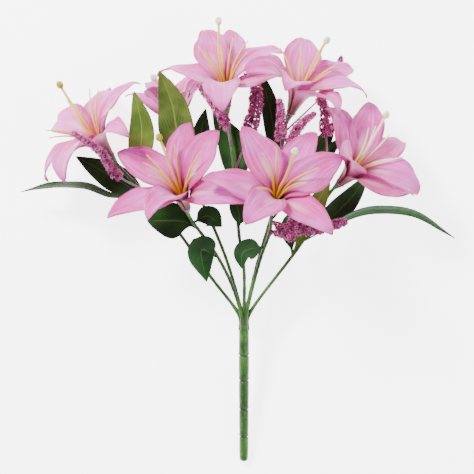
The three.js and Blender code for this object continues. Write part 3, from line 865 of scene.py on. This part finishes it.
sprigs = {
    "left": dict(branch="left", along=0.8, begins=0.3, radius=5.2,
                 line=[(-108, 132, 67.5), (-121, 151, 94), (-143, 166, 99)]),
    "back_left": dict(branch="top", along=0.82, begins=0.4, radius=5.8,
                      line=[(-18, 180, 74), (-39, 208, 76)]),
    "tall": dict(branch="top", along=0.7, begins=0.4, radius=7.4,
                 line=[(10, 192, 46), (8, 226, 44)]),
    "upright": dict(branch="top_right", along=0.75, begins=0.4, radius=6,
                    line=[(32, 179, 58), (30, 196, 62)]),
    "slanted": dict(branch="top_right", along=0.65, begins=0.4, radius=6,
                    line=[(46, 172, 62), (60, 184, 66)]),
    "right_bent": dict(branch="right", along=0.9, begins=0.5, radius=6,
                       line=[(69, 188, 44), (67, 200, 42), (81, 202, 42)]),
    "far_right": dict(branch="top_right", along=0.9, begins=0.5, radius=5.8,
                      line=[(76, 212, 12), (86, 237, 8)]),
    "low_short": dict(branch="front_right", along=0.7, begins=0.4, radius=7,
                      line=[(29, 85, 70), (42, 77, 72)]),
    "low_long": dict(branch="front_right", along=0.82, begins=0.2, radius=7.6,
                     line=[(56, 86, 66), (87, 92, 64)]),
}


floretShape = dict(petals=5, notch=0.5, droop=0.3, rim=0.3, cup=0.25, tube=0.5, tubeWidth=0.35)


# a five-pointed star with a sunk cup and a short tube behind it
def buildFloret():
    bpy.ops.mesh.primitive_circle_add(vertices=2 * floretShape["petals"], radius=1, fill_type="NGON")
    piece = bpy.context.object
    bpy.ops.object.mode_set(mode="EDIT")
    mesh = bmesh.from_edit_mesh(piece.data)
    mesh.verts.ensure_lookup_table()
    for vert in mesh.verts:
        vert.select = vert.index % 2 == 1
    mesh.select_flush_mode()
    bpy.ops.transform.resize(value=(floretShape["notch"], floretShape["notch"], 1), center_override=(0, 0, 0))
    bpy.ops.transform.translate(value=(0, 0, -floretShape["droop"]))
    bpy.ops.mesh.select_all(action="SELECT")
    bpy.ops.mesh.inset(thickness=floretShape["rim"], depth=-floretShape["cup"])
    bpy.ops.mesh.select_all(action="SELECT")
    bpy.ops.mesh.extrude_region_move(TRANSFORM_OT_translate={"value": (0, 0, -floretShape["tube"])})
    bpy.ops.transform.resize(value=(floretShape["tubeWidth"], floretShape["tubeWidth"], 0.4))
    bpy.ops.mesh.select_all(action="SELECT")
    bpy.ops.mesh.normals_make_consistent(inside=False)
    bpy.ops.object.mode_set(mode="OBJECT")
    # the cup attribute holds painted shade, strongest in the sunk middle of the floret
    mark(piece, "cup", lambda co: min(max((co.x ** 2 + co.y ** 2) ** 0.5, 0), 1))
    return piece


floret = buildFloret()


def buildSprig(name, sprig):
    line = sideLine(sprig)
    steps = sprigShape["steps"]
    points = [place(line.at(k / steps)) for k in range(steps + 1)]
    radii = [lerp(sprigShape["stalk"], sprigShape["stalkTip"], k / steps) * mm for k in range(steps + 1)]
    parts = [tubeAlong(points, radii, sprigShape["stalkSides"], "stalk")]
    mark(parts[0], "tint", lambda co: 0.1)
    # the stalk, under the florets, takes part of the same painted shade
    mark(parts[0], "cup", lambda co: 0.3)
    start = line.length * sprig["begins"]
    crowd = sprigShape["perMillimetre"] * sprig["radius"]
    count = int((line.length - start) * crowd / sprigShape["usualRadius"])
    for k in range(count):
        share = (k + chance.random()) / count
        at = lerp(start, line.length, share) / line.length
        way = line.way(at)
        side = way.orthogonal().normalized()
        side.rotate(Matrix.Rotation(chance.uniform(0, wholeTurn), 3, way))
        out = (side + way * chance.uniform(0.1, 0.8)).normalized()
        reach = sprig["radius"] * sprigShape["loose"] * lerp(1, sprigShape["tipShare"], share ** 2)
        reach *= smooth(share, -0.25, 0.1)  # a little slimmer where the florets begin
        reach *= 0.4 + 0.6 * chance.random() ** 0.6
        copy = floret.copy()
        copy.data = floret.data.copy()
        bpy.context.scene.collection.objects.link(copy)
        tint = chance.random()
        mark(copy, "tint", lambda co: tint)
        turn = out.to_track_quat("Z", "X").to_matrix().to_4x4()
        turn = turn @ Matrix.Rotation(chance.uniform(0, wholeTurn), 4, "Z")
        size = sprigShape["floret"] * chance.uniform(0.75, 1.15) * mm
        seat = place(line.at(at) + side * (reach - sprigShape["sunk"]))
        copy.data.transform(Matrix.Translation(seat) @ turn @ Matrix.Scale(size, 4))
        parts.append(copy)
    piece = joinPieces(parts, "floretSprig_" + name)
    wear(piece, floretPlastic, "sprig_plastic", "sprig_" + name)


for name, sprig in sprigs.items():
    buildSprig(name, sprig)
bpy.data.objects.remove(floret)
print("sprigs done")

stage = dict(view=(-6, 79, 60), distance=1.68, lens=150, sensor=36, floor=3.0, floorDrop=0.0005, glow=4.2,
             aim=(0, 80, 40), roomLight=0.58)

bpy.ops.mesh.primitive_plane_add(size=stage["floor"] * 2, location=(0, 0, -stage["floorDrop"]))
floorPiece = bpy.context.object
floorPiece.name = "paleFloor"
n = Nodes("paleFloor", 0.8, Emission_Color=(1, 1, 1, 1), Emission_Strength=stage["glow"])
clouds = n.noise(n.add("TexCoord").outputs["Object"], 3, 2)
paper = n.mix(n.fade(clouds, 0.3, 0.7), (0.93, 0.93, 0.93), (0.96, 0.96, 0.96))
floorPiece.data.materials.append(n.finish(paper))

cameraData = bpy.data.cameras.new("camera")
camera = bpy.data.objects.new("camera", cameraData)
bpy.context.scene.collection.objects.link(camera)
cameraData.lens = stage["lens"]
cameraData.sensor_width = stage["sensor"]
camera.location = place(stage["view"]) + Vector((0, 0, stage["distance"]))
bpy.context.scene.camera = camera


def softLight(name, location, size, power):
    data = bpy.data.lights.new(name, "AREA")
    data.shape = "DISK"
    data.size = size
    data.energy = power
    light = bpy.data.objects.new(name, data)
    bpy.context.scene.collection.objects.link(light)
    light.location = location
    light.rotation_euler = (place(stage["aim"]) - Vector(location)).to_track_quat("-Z", "Y").to_euler()


softLight("keyLight", (-0.8, 0.9, 1.3), 0.45, 70)
softLight("fillLight", (1.0, -0.3, 1.2), 1.0, 14)
world = bpy.data.worlds.new("softRoom")
world.use_nodes = True
world.node_tree.nodes["Background"].inputs[0].default_value = (1, 1, 1, 1)
world.node_tree.nodes["Background"].inputs[1].default_value = stage["roomLight"]
bpy.context.scene.world = world
